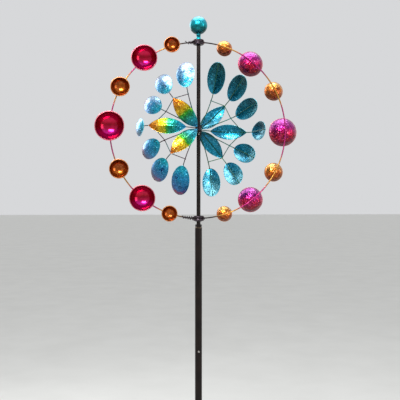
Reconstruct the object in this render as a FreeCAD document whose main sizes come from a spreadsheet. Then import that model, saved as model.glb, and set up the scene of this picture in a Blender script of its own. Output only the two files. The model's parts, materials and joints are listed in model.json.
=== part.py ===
# Garden wind spinner: a staked pole that carries two rotors on one vertical spindle.
# The outer ring has fourteen wind cups; the inner rotor has two domed fans of leaves and petals.
# Frame: millimetres, +Z up, X along the ring at rest, origin on the pole's axis at the ground.

import FreeCAD, Part
import math
import os
import re
import Sketcher
from FreeCAD import Placement, Rotation, Vector

doc = FreeCAD.newDocument("WindSpinner")

# ---------------------------------------------------------------- driving sizes

SIZES = (
    # pole
    ("tube_outside", 21.0),
    ("tube_wall", 1.2),
    ("slip_clearance", 0.05),
    ("spigot_length", 50.0),
    ("pole_top", 1080.0),
    ("plug_flange", 3.0),
    ("plug_length", 30.0),
    ("joint_screw_shank", 4.0),
    ("joint_screw_head", 7.0),
    ("joint_screw_drop", 12.0),
    ("joint_screw_dome", 2.5),
    # stake
    ("step_bar_length", 150.0),
    ("step_bar_width", 20.0),
    ("step_bar_thickness", 5.0),
    ("prong_spacing", 120.0),
    ("prong_diameter", 8.0),
    ("prong_neck", 10.0),
    ("prong_length", 180.0),
    ("spike_diameter", 12.0),
    ("spike_neck", 14.0),
    ("spike_length", 200.0),
    # spindle
    ("rod_diameter", 12.0),
    ("lower_shoulder", 1.0),
    ("lower_stud_length", 34.0),
    ("upper_shoulder", 2.0),
    ("upper_stud_length", 27.0),
    ("nut_across_flats", 17.0),
    ("nut_height", 8.0),
    ("washer_thickness", 1.0),
    ("washer_outside", 15.0),
    ("running_clearance", 0.05),
    ("thrust_gap", 0.3),
    # finial
    ("stem_diameter", 12.6),
    ("stem_length", 18.5),
    ("ball_diameter", 54.0),
    ("ball_wall", 1.2),
    # outer ring
    ("neck_length", 8.5),
    ("ring_radius", 264.0),
    ("ring_wire", 4.0),
    ("collar_lobe", 8.0),
    ("collar_outside", 33.0),
    ("collar_bore", 16.0),
    ("bush_flange", 1.5),
    ("cup_wall", 1.2),
    ("cup_depth_ratio", 0.8),
    ("weld_sink", 0.25),
    ("equator_cup", 88.0),
    ("shoulder_cup", 58.5),
    ("shoulder_angle", 28.0),
    ("crown_cup", 78.0),
    ("crown_angle", 52.0),
    ("collar_cup", 48.6),
    ("collar_angle", 72.2),
    ("left_drift", 1.6),
    ("coil_wire", 2.6),
    ("coil_pitch", 8.0),
    ("coil_radius", 5.2),
    ("coil_taper", -2.5),
    ("coil_offset", 15.0),
    ("upper_coil_turns", 2.0),
    ("lower_coil_turns", 4.0),
    # inner rotor
    ("hub_outside", 20.0),
    ("hub_bore", 15.0),
    ("hub_length", 22.0),
    ("rotor_rise", 4.0),
    ("stop_outside", 18.0),
    ("stop_length", 8.0),
    ("set_screw", 4.0),
    ("boss_radius", 6.5),
    ("boss_length", 9.0),
    ("fan_yaw", -15.0),
    ("fan_roll", 2.7),
    ("spoke_wire", 2.8),
    ("spoke_pitch", 24.6),
    ("spoke_rise", 59.5),
    ("spoke_radius", 110.0),
    ("fan_shift", -4.0),
    ("leaf_lift", 7.0),
    ("end_reach", 131.0),
    ("outer_reach", 141.0),
    ("inner_reach", 128.0),
    ("middle_reach", 176.0),
    ("end_kink", 29.0),
    ("outer_kink", 31.0),
    ("inner_kink", 39.0),
    ("middle_kink", 32.0),
    ("kink_radius", 12.0),
    ("petal_length", 112.0),
    ("petal_width", 58.0),
    ("petal_depth", 12.0),
    ("petal_gap", 2.0),
    ("sheet_wall", 1.0),
    ("leaf_length", 114.0),
    ("leaf_width", 47.0),
    ("leaf_cross_radius", 55.0),
    ("side_leaf_reach", 69.0),
    ("middle_leaf_reach", 105.0),
    ("brace_wire", 2.4),
    ("end_brace_reach", 118.0),
    ("outer_brace_reach", 126.0),
    ("inner_brace_reach", 120.0),
    ("middle_brace_reach", 152.0),
)

sheet = doc.addObject("Spreadsheet::Sheet", "Sizes")
for row, (alias, number) in enumerate(SIZES, start=1):
    sheet.set(f"A{row}", alias)
    sheet.set(f"B{row}", str(number))
    sheet.setAlias(f"B{row}", alias)
doc.recompute()

# ---------------------------------------------------------------- helpers

ALIAS_WORDS = re.compile(r"\b(" + "|".join(alias for alias, _ in SIZES) + r")\b")
NODES = []


def formula(text):
    """An expression for setExpression: each alias in the text becomes a reference to its cell."""
    return ALIAS_WORDS.sub(r"Sizes.\1", text)


def size(text):
    """The number that an expression of aliases comes to."""
    return float(sheet.evalExpression(formula(text)))


def bind(thing, **formulas):
    """Tie properties to the sheet. A double underscore in a name stands for a dot."""
    for name, text in formulas.items():
        thing.setExpression(name.replace("__", "."), formula(text))
    return thing


def node(label, thing):
    """Register a finished sub-part under the name that its file takes."""
    thing.Label = label
    NODES.append(thing)
    return thing


def primitive(kind, name, rotation=Rotation(), **formulas):
    thing = doc.addObject("Part::" + kind, name)
    thing.Placement = Placement(Vector(), rotation)
    return bind(thing, **formulas)


def cut(name, base, tool):
    thing = doc.addObject("Part::Cut", name)
    thing.Base = base
    thing.Tool = tool
    return thing


def gather(kind, name, shapes):
    """A MultiFuse or MultiCommon of several objects."""
    thing = doc.addObject("Part::" + kind, name)
    thing.Shapes = shapes
    return thing


def group(name, members):
    """Several loose solids that share one sub-part."""
    thing = doc.addObject("Part::Compound", name)
    thing.Links = members
    return thing


def origin_plane(body, role):
    return next(plane for plane in body.Origin.OriginFeatures if plane.Role == role)


def sketch_on(body, role, name):
    sketch = body.newObject("Sketcher::SketchObject", name)
    sketch.AttachmentSupport = (origin_plane(body, role), [""])
    sketch.MapMode = "FlatFace"
    return sketch


def constrain(sketch, text, *definition):
    """Add a dimension to a sketch and tie it to the sheet."""
    index = sketch.addConstraint(Sketcher.Constraint(*definition, size(text)))
    sketch.setExpression(f"Constraints[{index}]", formula(text))


def pin_vertex(sketch, line, across, up):
    """Hold the first point of a line at two formulas measured from the sketch's origin."""
    if across == "0":
        sketch.addConstraint(Sketcher.Constraint("PointOnObject", line, 1, -2))
    else:
        constrain(sketch, across, "DistanceX", -1, 1, line, 1)
    if up == "0":
        sketch.addConstraint(Sketcher.Constraint("PointOnObject", line, 1, -1))
    else:
        constrain(sketch, up, "DistanceY", -1, 1, line, 1)


def turned(label, outline, height="0"):
    """A body of revolution about Z. The outline is a list of (radius, height) formulas."""
    body = doc.addObject("PartDesign::Body", label)
    sketch = sketch_on(body, "XZ_Plane", label + "_outline")
    corners = [Vector(size(across), size(up), 0) for across, up in outline]
    for corner, following in zip(corners, corners[1:] + corners[:1]):
        sketch.addGeometry(Part.LineSegment(corner, following), False)
    for line, (across, up) in enumerate(outline):
        before = (line - 1) % len(outline)
        sketch.addConstraint(Sketcher.Constraint("Coincident", before, 2, line, 1))
        pin_vertex(sketch, line, across, up)
    revolution = body.newObject("PartDesign::Revolution", label + "_turned")
    revolution.Profile = sketch
    revolution.ReferenceAxis = (sketch, ["V_Axis"])
    revolution.Angle = 360
    sketch.Visibility = False
    return bind(body, Placement__Base__z=height)


def ring_section(inner, outer, low, high):
    """The outline of a plain tube or washer."""
    return [(inner, low), (outer, low), (outer, high), (inner, high)]


def facing(origin, along, outward):
    """The placement whose local X runs along one direction and whose local Z is another."""
    side = outward.cross(along)
    matrix = FreeCAD.Matrix(
        along.x, side.x, outward.x, origin.x,
        along.y, side.y, outward.y, origin.y,
        along.z, side.z, outward.z, origin.z,
        0, 0, 0, 1)
    return Placement(matrix)


# ---------------------------------------------------------------- pole

TUBE_BORE = "(tube_outside / 2 - tube_wall)"
SPIGOT = "(tube_outside / 2 - tube_wall - slip_clearance)"
SPIGOT_BORE = "(tube_outside / 2 - 2 * tube_wall - slip_clearance)"


def screw_hole(name, height):
    """A tool that drills one side of a tube for its joint screw, on the side away from +Y."""
    return primitive("Cylinder", name, Rotation(Vector(1, 0, 0), 90),
                     Radius="joint_screw_shank / 2", Height="tube_outside",
                     Placement__Base__z=height)


def pole_section(label, low, high, with_spigot, screw_heights):
    """One tube of the pole, whose lower end is drawn down to slip into the tube below."""
    if with_spigot:
        outline = [
            (SPIGOT_BORE, f"{low} - spigot_length"),
            (SPIGOT, f"{low} - spigot_length"),
            (SPIGOT, low),
            ("tube_outside / 2", low),
            ("tube_outside / 2", high),
            (TUBE_BORE, high),
            (TUBE_BORE, f"{low} + 2 * tube_wall"),
            (SPIGOT_BORE, f"{low} - tube_wall"),
        ]
    else:
        outline = ring_section(TUBE_BORE, "tube_outside / 2", low, high)
    tube = turned(label + "_tube", outline)
    for number, height in enumerate(screw_heights):
        hole = screw_hole(f"{label}_hole_{number}", height)
        tube = cut(f"{label}_drilled_{number}", tube, hole)
    return node(label, tube)


LOWER_JOINT = "(pole_top / 3)"
UPPER_JOINT = "(2 * pole_top / 3)"
LOWER_SCREW = f"({LOWER_JOINT} - joint_screw_drop)"
UPPER_SCREW = f"({UPPER_JOINT} - joint_screw_drop)"

pole_section("pole_lower", "step_bar_thickness", LOWER_JOINT, False, [LOWER_SCREW])
pole_section("pole_middle", LOWER_JOINT, UPPER_JOINT, True, [LOWER_SCREW, UPPER_SCREW])
pole_section("pole_upper", UPPER_JOINT, "pole_top - plug_flange", True, [UPPER_SCREW])


SCREW_GRIP = "(2 * tube_wall + joint_screw_dome)"


def joint_screw(name, height):
    """A domed screw through the outer tube and the spigot inside it, head towards -Y."""
    shank = primitive("Cylinder", name + "_shank", Rotation(Vector(1, 0, 0), 90),
                      Radius="joint_screw_shank / 2 - slip_clearance",
                      Height=SCREW_GRIP,
                      Placement__Base__y=f"{SCREW_GRIP} - tube_outside / 2",
                      Placement__Base__z=height)
    ball = primitive("Sphere", name + "_dome",
                     Radius="joint_screw_head / 2",
                     Placement__Base__y="joint_screw_head / 2 - joint_screw_dome - tube_outside / 2",
                     Placement__Base__z=height)
    limit = primitive("Box", name + "_limit",
                      Length="joint_screw_head",
                      Width="joint_screw_head",
                      Height="joint_screw_head",
                      Placement__Base__x="-joint_screw_head / 2",
                      Placement__Base__y="-tube_outside / 2 - joint_screw_head",
                      Placement__Base__z=f"{height} - joint_screw_head / 2")
    head = gather("MultiCommon", name + "_head", [ball, limit])
    return gather("MultiFuse", name, [shank, head])


screws = [
    joint_screw("lower_joint_screw", LOWER_SCREW),
    joint_screw("upper_joint_screw", UPPER_SCREW),
]
node("pole_joint_screws", group("pole_joint_screws", screws))

# ---------------------------------------------------------------- stake

# The step bar lies on the ground, the spike plugs into the pole's foot, and two prongs hang from the bar.
# Each has a thicker neck that fills its hole, so that it drops in from above and is welded there.
PRONG = "prong_diameter / 2"
PRONG_NECK = "prong_neck / 2"

step_blank = primitive("Box", "step_bar_blank",
                       Length="step_bar_length",
                       Width="step_bar_width",
                       Height="step_bar_thickness",
                       Placement__Base__x="-step_bar_length / 2",
                       Placement__Base__y="-step_bar_width / 2")
step_holes = [
    primitive("Cylinder", "step_bar_middle_hole",
              Radius="spike_neck / 2", Height="step_bar_thickness"),
    primitive("Cylinder", "step_bar_left_hole", Radius=PRONG_NECK, Height="step_bar_thickness",
              Placement__Base__x="-prong_spacing / 2"),
    primitive("Cylinder", "step_bar_right_hole", Radius=PRONG_NECK, Height="step_bar_thickness",
              Placement__Base__x="prong_spacing / 2"),
]
step_bores = gather("MultiFuse", "step_bar_holes", step_holes)
node("stake_step_bar", cut("stake_step_bar", step_blank, step_bores))


def prong(name, across):
    """A round prong, pointed below and flush with the top of the step bar."""
    outline = [
        ("0", "-prong_length"),
        (PRONG, "-prong_length + 3 * prong_diameter"),
        (PRONG, "0"),
        (PRONG_NECK, "0"),
        (PRONG_NECK, "step_bar_thickness"),
        ("0", "step_bar_thickness"),
    ]
    return bind(turned(name, outline), Placement__Base__x=across)


spike = turned("middle_spike", [
    ("0", "-spike_length"),
    ("spike_diameter / 2", "-spike_length + 2.5 * spike_diameter"),
    ("spike_diameter / 2", "0"),
    ("spike_neck / 2", "0"),
    ("spike_neck / 2", "step_bar_thickness"),
    (TUBE_BORE, "step_bar_thickness"),
    (TUBE_BORE, "step_bar_thickness + spigot_length"),
    ("0", "step_bar_thickness + spigot_length"),
])
prongs = [prong("left_prong", "-prong_spacing / 2"), prong("right_prong", "prong_spacing / 2")]
node("stake_spikes", group("stake_spikes", [spike, *prongs]))

# ---------------------------------------------------------------- spindle

ROD = "rod_diameter / 2"
LOWER_STUD = "(rod_diameter / 2 - lower_shoulder)"
UPPER_STUD = "(rod_diameter / 2 - upper_shoulder)"
ROD_FOOT = "(pole_top + nut_height)"
RING_FOOT = "(pole_top + nut_height + neck_length + bush_flange + collar_lobe)"
RING_MIDDLE = f"({RING_FOOT} + ring_radius)"
RING_TOP = f"({RING_FOOT} + 2 * ring_radius)"
ROTOR_MIDDLE = f"({RING_MIDDLE} + rotor_rise)"
SHOULDER = f"({RING_TOP} - collar_lobe / 2)"
STEM_FOOT = f"({RING_TOP} + collar_lobe + 2 * thrust_gap)"

node("tube_top_plug", turned("tube_top_plug", [
    (LOWER_STUD, "pole_top - plug_length"),
    (TUBE_BORE, "pole_top - plug_length"),
    (TUBE_BORE, "pole_top - plug_flange"),
    ("tube_outside / 2", "pole_top - plug_flange"),
    ("tube_outside / 2", "pole_top - plug_flange / 2"),
    ("tube_outside / 2 - plug_flange / 2", "pole_top"),
    (LOWER_STUD, "pole_top"),
]))

nut_blank = primitive("Prism", "nut_blank",
                      Circumradius="nut_across_flats / 2 / cos(30 deg)",
                      Height="nut_height",
                      Placement__Base__z="pole_top")
nut_corners = turned("nut_corners", [
    (LOWER_STUD, "0"),
    ("nut_across_flats / 2", "0"),
    ("nut_across_flats / 2 / cos(30 deg)", "0.1 * nut_height"),
    ("nut_across_flats / 2 / cos(30 deg)", "0.9 * nut_height"),
    ("nut_across_flats / 2", "nut_height"),
    (LOWER_STUD, "nut_height"),
], "pole_top")
node("lock_nut", gather("MultiCommon", "lock_nut", [nut_blank, nut_corners]))

node("spindle_rod", turned("spindle_rod", [
    ("0", f"{ROD_FOOT} - lower_stud_length"),
    (LOWER_STUD, f"{ROD_FOOT} - lower_stud_length"),
    (LOWER_STUD, ROD_FOOT),
    (ROD, ROD_FOOT),
    (ROD, SHOULDER),
    (UPPER_STUD, SHOULDER),
    (UPPER_STUD, f"{SHOULDER} + upper_stud_length"),
    ("0", f"{SHOULDER} + upper_stud_length"),
]))

HUB_FOOT = f"({ROTOR_MIDDLE} - hub_length / 2)"
HUB_WASHER = f"({HUB_FOOT} - thrust_gap - washer_thickness)"
STOP_FOOT = f"({HUB_WASHER} - stop_length)"


def washer(name, bore, low):
    return turned(name, ring_section(bore, "washer_outside / 2", low, f"{low} + washer_thickness"))


washers = [
    washer("upper_washer", UPPER_STUD, SHOULDER),
    washer("hub_washer", ROD, HUB_WASHER),
]
node("thrust_washers", group("thrust_washers", washers))

stop_blank = turned("stop_blank", ring_section(ROD, "stop_outside / 2", "0", "stop_length"), STOP_FOOT)
stop_hole = primitive("Cylinder", "stop_hole", Rotation(Vector(1, 0, 0), 90),
                      Radius="set_screw / 2",
                      Height="stop_outside",
                      Placement__Base__z=f"{STOP_FOOT} + stop_length / 2")
node("stop_collar", cut("stop_collar", stop_blank, stop_hole))

grub = primitive("Cylinder", "grub", Rotation(Vector(1, 0, 0), 90),
                 Radius="set_screw / 2",
                 Height="stop_outside / 2 - rod_diameter / 2",
                 Placement__Base__y=f"-{ROD}",
                 Placement__Base__z=f"{STOP_FOOT} + stop_length / 2")
grub_socket = primitive("Prism", "grub_socket", Rotation(Vector(1, 0, 0), 90),
                        Circumradius="set_screw / 4",
                        Height="set_screw / 2",
                        Placement__Base__y="-stop_outside / 2 + set_screw / 2",
                        Placement__Base__z=f"{STOP_FOOT} + stop_length / 2")
node("stop_set_screw", cut("stop_set_screw", grub, grub_socket))

# ---------------------------------------------------------------- finial

STEM = "stem_diameter / 2"
BALL = "ball_diameter / 2"
BALL_FOOT = f"sqrt(({BALL}) ^ 2 - ({STEM}) ^ 2)"
BALL_HEIGHT = f"({STEM_FOOT} + stem_length - 2 * ball_wall - ball_wall / 2 + {BALL_FOOT})"

node("finial_stem", turned("finial_stem", [
    (UPPER_STUD, STEM_FOOT),
    (STEM, STEM_FOOT),
    (STEM, f"{STEM_FOOT} + stem_length"),
    ("0", f"{STEM_FOOT} + stem_length"),
    ("0", f"{SHOULDER} + upper_stud_length"),
    (UPPER_STUD, f"{SHOULDER} + upper_stud_length"),
]))

ball_outer = primitive("Sphere", "ball_outer", Radius=BALL, Placement__Base__z=BALL_HEIGHT)
ball_hollow = primitive("Sphere", "ball_hollow", Radius=f"{BALL} - ball_wall", Placement__Base__z=BALL_HEIGHT)
ball_shell = cut("ball_shell", ball_outer, ball_hollow)
ball_mouth = primitive("Cylinder", "ball_mouth", Radius=STEM, Height=BALL,
                       Placement__Base__z=f"{BALL_HEIGHT} - ball_diameter / 2 - ball_wall")
node("finial_ball", cut("finial_ball", ball_shell, ball_mouth))

# ---------------------------------------------------------------- outer ring

WIRE = "ring_wire / 2"
COLLAR = "collar_outside / 2"
LOBE = "collar_lobe / 2"


def ring_collar(label, height):
    """Two rolled lobes around a sleeve, drilled on both sides for the ends of the ring's wire."""
    sleeve = turned(label + "_sleeve", ring_section(
        "collar_bore / 2", f"{COLLAR} - {LOBE}", f"{height} - collar_lobe", f"{height} + collar_lobe"))
    lobes = [
        primitive("Torus", f"{label}_lobe_{number}",
                  Radius1=f"{COLLAR} - {LOBE}",
                  Radius2=LOBE,
                  Placement__Base__z=f"{height} {sign} collar_lobe / 2")
        for number, sign in enumerate("-+")
    ]
    bore = primitive("Cylinder", label + "_bore", Radius="collar_bore / 2", Height="4 * collar_lobe",
                     Placement__Base__z=f"{height} - 2 * collar_lobe")
    holes = primitive("Cylinder", label + "_wire_holes", Rotation(Vector(0, 1, 0), 90),
                      Radius=WIRE, Height="2 * collar_outside",
                      Placement__Base__x="-collar_outside",
                      Placement__Base__z=height)
    solid = cut(label + "_bored", gather("MultiFuse", label + "_body", [sleeve, *lobes]), bore)
    return node(label, cut(label, solid, holes))


ring_collar("ring_collar_top", RING_TOP)
ring_collar("ring_collar_bottom", RING_FOOT)

# The ring hangs on its upper bush, which stands on the spindle's shoulder; the lower bush only guides it.
upper_bush = turned("upper_bush", ring_section(
    f"{UPPER_STUD} + running_clearance", "collar_bore / 2",
    f"{SHOULDER} + washer_thickness + thrust_gap", f"{RING_TOP} + collar_lobe"))
lower_bush = turned("lower_bush", [
    (f"{ROD} + running_clearance", f"{RING_FOOT} - collar_lobe - bush_flange"),
    ("collar_bore / 2 + bush_flange", f"{RING_FOOT} - collar_lobe - bush_flange"),
    ("collar_bore / 2 + bush_flange", f"{RING_FOOT} - collar_lobe"),
    ("collar_bore / 2", f"{RING_FOOT} - collar_lobe"),
    ("collar_bore / 2", f"{RING_FOOT} + collar_lobe"),
    (f"{ROD} + running_clearance", f"{RING_FOOT} + collar_lobe"),
])
node("ring_bushes", group("ring_bushes", [upper_bush, lower_bush]))

# Each half of the ring is one bent wire whose two ends enter the collars.
WIRE_END = "acos(collar_bore / 2 / ring_radius)"


def ring_arc(label, middle):
    """Half of the ring; middle is the direction of the middle of its arc, in degrees from +X."""
    rotation = Rotation(Vector(1, 0, 0), 90).multiply(Rotation(Vector(0, 0, 1), middle - size(WIRE_END)))
    return node(label, primitive("Torus", label, rotation,
                                 Radius1="ring_radius",
                                 Radius2=WIRE,
                                 Angle3=f"2 * {WIRE_END}",
                                 Placement__Base__z=RING_MIDDLE))


ring_arc("ring_arc_right", 0)
ring_arc("ring_arc_left", 180)


def cup(label, diameter, angle, side):
    """A pressed wind cup, welded to the ring by its back. Left cups open towards -Y, right cups towards +Y."""
    radius = f"({diameter} / 2 * (1 + cup_depth_ratio ^ 2) / (2 * cup_depth_ratio))"
    rim = f"({diameter} / 2 * cup_depth_ratio - {radius})"
    body = doc.addObject("PartDesign::Body", label)
    sketch = sketch_on(body, "XZ_Plane", label + "_outline")
    rim_height = size(rim)
    arcs = []
    for sphere in (radius, f"({radius} - cup_wall)"):
        circle = Part.Circle(Vector(), Vector(0, 0, 1), size(sphere))
        arc = sketch.addGeometry(
            Part.ArcOfCircle(circle, -math.pi / 2, math.asin(rim_height / size(sphere))), False)
        sketch.addConstraint(Sketcher.Constraint("Coincident", arc, 3, -1, 1))
        constrain(sketch, sphere, "Radius", arc)
        sketch.addConstraint(Sketcher.Constraint("PointOnObject", arc, 1, -2))
        constrain(sketch, rim, "DistanceY", -1, 1, arc, 2)
        arcs.append(arc)
    for point in (1, 2):
        ends = [sketch.getPoint(arc, point) for arc in arcs]
        line = sketch.addGeometry(Part.LineSegment(*ends), False)
        sketch.addConstraint(Sketcher.Constraint("Coincident", line, 1, arcs[0], point))
        sketch.addConstraint(Sketcher.Constraint("Coincident", line, 2, arcs[1], point))
    revolution = body.newObject("PartDesign::Revolution", label + "_pressed")
    revolution.Profile = sketch
    revolution.ReferenceAxis = (sketch, ["V_Axis"])
    revolution.Angle = 360
    body.Placement = Placement(Vector(), Rotation(Vector(1, 0, 0), -90 * side))
    return node(label, bind(body,
                            Placement__Base__x=f"ring_radius * cos({angle}) * {side}",
                            Placement__Base__y=f"({WIRE} - weld_sink + {radius}) * {side}",
                            Placement__Base__z=f"{RING_MIDDLE} + ring_radius * sin({angle})"))


# The cups are spaced by hand: on the left wire those from the middle down sit a little higher.
for side_name, side in (("left", -1), ("right", 1)):
    drift = "left_drift" if side < 0 else "0"
    cup(f"cup_{side_name}_equator", "equator_cup", f"({drift}) * 1 deg", side)
    for place in ("shoulder", "crown", "collar"):
        cup(f"cup_{side_name}_upper_{place}", f"{place}_cup", f"{place}_angle * 1 deg", side)
        cup(f"cup_{side_name}_lower_{place}", f"{place}_cup", f"({drift} - {place}_angle) * 1 deg", side)


COIL_ACROSS = "(collar_outside / 2 + coil_wire / 2)"


def splice_coil(name, turns, sign):
    """A tapered binding wire wound round the left arc beside its collar, on the upper or lower side."""
    spine = doc.addObject("Part::Helix", name + "_spine")
    bind(spine, Pitch="coil_pitch", Height=f"coil_pitch * {turns}", Radius="coil_radius", Angle="coil_taper")
    section = doc.addObject("Part::Circle", name + "_section")
    section.Placement = Placement(Vector(size("coil_radius"), 0, 0), Rotation(Vector(1, 0, 0), 90))
    bind(section, Radius="coil_wire / 2")
    sweep = doc.addObject("Part::Sweep", name + "_wound")
    sweep.Sections = [section]
    sweep.Spine = (spine, [])
    sweep.Solid = True
    sweep.Frenet = True
    middle = size(f"{COIL_ACROSS} + coil_offset")
    slope = math.degrees(math.asin(middle / size("ring_radius")))
    sweep.Placement = Placement(Vector(), Rotation(Vector(0, 1, 0), -90 - sign * slope))
    return bind(sweep,
                Placement__Base__x=f"-{COIL_ACROSS}",
                Placement__Base__z=f"{RING_MIDDLE} + {sign} * sqrt(ring_radius ^ 2 - {COIL_ACROSS} ^ 2)")


coils = [
    splice_coil("upper_coil", "upper_coil_turns", 1),
    splice_coil("lower_coil", "lower_coil_turns", -1),
]
node("ring_splice_coils", group("ring_splice_coils", coils))

# ---------------------------------------------------------------- inner rotor

HUB = "hub_outside / 2"

node("rotor_hub", turned("rotor_hub", ring_section("hub_bore / 2", HUB, "0", "hub_length"), HUB_FOOT))
node("rotor_bush", turned("rotor_bush", ring_section(
    f"{ROD} + running_clearance", "hub_bore / 2", "0", "hub_length"), HUB_FOOT))


def dome(angle, reach, lift=0.0):
    """A point of a fan's dome, in the fan's own frame, with the spoke's direction and the outward one.

    The spoke leaves the hub at the given angle from the horizontal and bends over along an arc.
    Reach is the length along it, and lift sets the whole arc further out from the hub.
    """
    radius = size("spoke_radius")
    start = math.radians(size("spoke_rise"))
    slope = start - reach / radius
    radial = Vector(math.cos(math.radians(angle)), 0, math.sin(math.radians(angle)))
    out = Vector(0, 1, 0)
    root = size("hub_outside / 2 + spoke_wire / 2") + lift
    point = (Vector(size("fan_shift"), 0, 0)
             + radial * (radius * (math.sin(start) - math.sin(slope)))
             + out * (root + radius * (math.cos(slope) - math.cos(start))))
    along = radial * math.cos(slope) + out * math.sin(slope)
    outward = out * math.cos(slope) - radial * math.sin(slope)
    return point, along, outward


def fan_placement(side):
    """Where a fan's own frame lies: the fans face opposite ways and are rolled the same way as one rotor."""
    turn = size("fan_yaw") + (0 if side > 0 else 180)
    roll = Rotation(Vector(0, 1, 0), size("fan_roll") * side)
    rotation = Rotation(Vector(0, 0, 1), turn).multiply(roll)
    return Placement(Vector(0, 0, size(ROTOR_MIDDLE)), rotation)


# A spoke's number, counted from the middle one, gives its place and its lift, which makes room for a leaf.
SPOKES = {
    3: ("end", 0.0),
    2: ("outer", size("leaf_lift")),
    1: ("inner", 0.0),
    0: ("middle", size("leaf_lift")),
}
SPOKE_NUMBERS = (3, 2, 1, 0, -1, -2, -3)
WORDS = {3: "upper_end", 2: "upper_outer", 1: "upper_inner", 0: "middle",
         -1: "lower_inner", -2: "lower_outer", -3: "lower_end"}


def spoke_angle(number):
    return number * size("spoke_pitch")


def kink_end(number):
    """The end of a spoke's bend, where its straight tip starts, with the tip's direction and outward side."""
    place, lift = SPOKES[abs(number)]
    point, along, outward = dome(spoke_angle(number), size(place + "_reach"), lift)
    kink = math.radians(size(place + "_kink"))
    radius = size("kink_radius")
    tip_along = along * math.cos(kink) - outward * math.sin(kink)
    tip_outward = outward * math.cos(kink) + along * math.sin(kink)
    return point + (tip_outward - outward) * radius, tip_along, tip_outward


def spoke(name, number, fan):
    """Three joined lengths of one wire: the domed arc, the bend and the straight tip on the petal."""
    place, lift = SPOKES[abs(number)]
    reach = place + "_reach"
    root, along, outward = dome(spoke_angle(number), 0, lift)
    arc = primitive("Torus", name + "_arc",
                    Radius1="spoke_radius", Radius2="spoke_wire / 2",
                    Angle3=f"{reach} / spoke_radius * 180 / pi")
    axis = outward.cross(along)
    arc.Placement = fan * facing(root - outward * size("spoke_radius"), outward, axis)
    point, along, outward = dome(spoke_angle(number), size(reach), lift)
    bend = primitive("Torus", name + "_bend",
                     Radius1="kink_radius", Radius2="spoke_wire / 2", Angle3=place + "_kink")
    bend.Placement = fan * facing(point - outward * size("kink_radius"), outward, axis)
    end, along, outward = kink_end(number)
    tip = primitive("Cylinder", name + "_tip", Radius="spoke_wire / 2", Height="petal_length")
    tip.Placement = fan * facing(end, outward, along)
    return [arc, bend, tip]


def fan_spokes(label, side):
    """A fan's seven spokes, welded together in a boss that seats on the hub."""
    fan = fan_placement(side)
    boss = primitive("Cylinder", label + "_boss", Radius="boss_radius", Height=f"{HUB} + boss_length")
    boss.Placement = fan * Placement(Vector(size("fan_shift"), 0, 0), Rotation(Vector(1, 0, 0), -90))
    hub = primitive("Cylinder", label + "_hub_seat", Radius=HUB, Height="4 * boss_radius",
                    Placement__Base__z=f"{ROTOR_MIDDLE} - 2 * boss_radius")
    pieces = [cut(label + "_seated_boss", boss, hub)]
    for number in SPOKE_NUMBERS:
        pieces += spoke(f"{label}_{WORDS[number]}", number, fan)
    return node(label, gather("MultiFuse", label, pieces))


def brace(label, side):
    """The bent wire that ties a fan's spokes together on their hollow side."""
    inset = size("(spoke_wire + brace_wire) / 2 - weld_sink")
    corners = []
    for number in SPOKE_NUMBERS:
        place, lift = SPOKES[abs(number)]
        point, _, outward = dome(spoke_angle(number), size(place + "_brace_reach"), lift)
        corners.append(point - outward * inset)
    spine = doc.addObject("Part::Polygon", label + "_spine")
    spine.Nodes = corners
    section = doc.addObject("Part::Circle", label + "_section")
    section.Placement = Placement(corners[0], Rotation(Vector(0, 0, 1), corners[1] - corners[0]))
    bind(section, Radius="brace_wire / 2")
    sweep = doc.addObject("Part::Sweep", label)
    sweep.Sections = [section]
    sweep.Spine = (spine, [])
    sweep.Solid = True
    sweep.Transition = "Right corner"
    sweep.Placement = fan_placement(side)
    return node(label, sweep)


PETAL_ACROSS = "((petal_width ^ 2 / 4 + petal_depth ^ 2) / (2 * petal_depth))"
PETAL_ALONG = "((petal_length ^ 2 / 4 + petal_depth ^ 2) / (2 * petal_depth))"


def petal(label, number, side):
    """A dished oval of sheet: the outermost patch of a hollow ring, cut off flat at the petal's mouth."""
    outer = primitive("Torus", label + "_outer",
                      Rotation(Vector(1, 0, 0), 90),
                      Radius1=f"{PETAL_ALONG} - {PETAL_ACROSS}", Radius2=PETAL_ACROSS)
    inner = primitive("Torus", label + "_inner",
                      Rotation(Vector(1, 0, 0), 90),
                      Radius1=f"{PETAL_ALONG} - {PETAL_ACROSS}", Radius2=f"{PETAL_ACROSS} - sheet_wall")
    patch = primitive("Box", label + "_patch",
                      Length="2 * petal_length", Width="2 * petal_width", Height="2 * petal_depth",
                      Placement__Base__x="-petal_length",
                      Placement__Base__y="-petal_width",
                      Placement__Base__z=f"{PETAL_ALONG} - petal_depth")
    shell = cut(label + "_shell", outer, inner)
    dish = gather("MultiCommon", label, [shell, patch])
    end, along, outward = kink_end(number)
    middle = end + along * size("petal_gap + petal_length / 2")
    mouth = middle + outward * size("spoke_wire / 2 - weld_sink")
    centre = mouth - outward * size(f"{PETAL_ALONG} - petal_depth")
    dish.Placement = fan_placement(side) * facing(centre, along, outward)
    return node(label, dish)


LEAF_SEAT = "(spoke_radius + spoke_wire / 2 - weld_sink)"
LEAF_EDGE = "((leaf_length ^ 2 / 4 + leaf_width ^ 2 / 4) / leaf_width)"
BAND_HALF_WIDTH = "(0.55 * leaf_width)"
BAND_ANGLE = "(2.4 * asin(leaf_length / 2 / spoke_radius))"


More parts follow.
